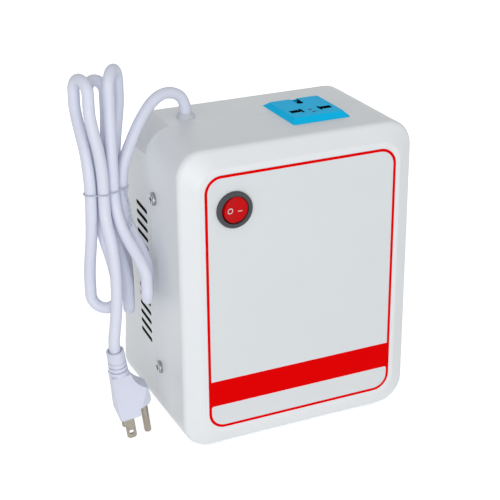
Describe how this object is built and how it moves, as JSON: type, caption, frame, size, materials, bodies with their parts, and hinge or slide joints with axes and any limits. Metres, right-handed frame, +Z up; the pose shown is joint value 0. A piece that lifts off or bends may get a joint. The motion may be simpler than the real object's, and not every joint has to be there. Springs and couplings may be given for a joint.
{
  "type": "travel voltage converter",
  "caption": "Boxy step-down mains converter with a sloped-edge front, round rocker switch, universal socket on top, side vents and a tied power cord ending in a moulded plug.",
  "frame": {"origin": "under the middle of the case, on the surface that its rubber feet stand on", "axes": "+X to the right seen from the label, +Y to the back, +Z up"},
  "size_m": [0.2034, 0.1264, 0.2436],
  "materials": {
    "case_plastic": "satin moulded cool white",
    "label_film": "printed film, red outline",
    "foot_rubber": "matte black",
    "screw_steel": "bright plated",
    "switch_grey": "satin dark grey",
    "rocker_red": "glossy red",
    "contact_brass": "stamped",
    "socket_blue": "satin light blue",
    "socket_black": "moulded black",
    "core_iron": "varnished laminations",
    "bobbin_nylon": "moulded nylon",
    "winding_wire": "enamelled wire",
    "plated_steel": "zinc plated",
    "pad_board": "insulating board",
    "cutout_case": "moulded",
    "gland_plastic": "moulded pale grey",
    "cord_jacket": "soft extruded sheath",
    "plug_plastic": "moulded",
    "blade_nickel": "nickel plated"
  },
  "bodies": {
    "case": {"front_cover": "case_plastic", "rear_housing": "case_plastic", "front_label": "label_film", "rubber_feet": "foot_rubber", "case_screws": "screw_steel", "switch_housing": "switch_grey", "switch_terminals": "contact_brass", "socket_plate": "socket_blue", "socket_body": "socket_black", "line_contact": "contact_brass", "neutral_contact": "contact_brass", "earth_contact": "contact_brass", "core_e_stack": "core_iron", "core_i_stack": "core_iron", "coil_bobbin": "bobbin_nylon", "input_winding": "winding_wire", "output_winding": "winding_wire", "core_clamp": "plated_steel", "core_pad": "pad_board", "core_bolts": "plated_steel", "core_nuts": "plated_steel", "base_bolts": "plated_steel", "base_nuts": "plated_steel", "thermal_cutout": "cutout_case", "terminal_block": "bobbin_nylon", "terminal_screws": "plated_steel", "cord_gland": "gland_plastic", "gland_nut": "gland_plastic", "cord_lead": "cord_jacket", "cord_hank": "cord_jacket", "cord_tail": "cord_jacket", "twist_tie": "cord_jacket", "plug_body": "plug_plastic", "strain_relief": "plug_plastic", "plug_blades": "blade_nickel", "earth_pin": "blade_nickel"},
    "rocker": {"switch_rocker": "rocker_red"}
  },
  "joints": [
    {"name": "rocker_tilt", "type": "hinge", "parent": "case", "child": "rocker", "pos_m": [-0.0454, -0.05875, 0.16475], "axis": [0, 0, 1], "range_deg": [-16, 0]}
  ]
}
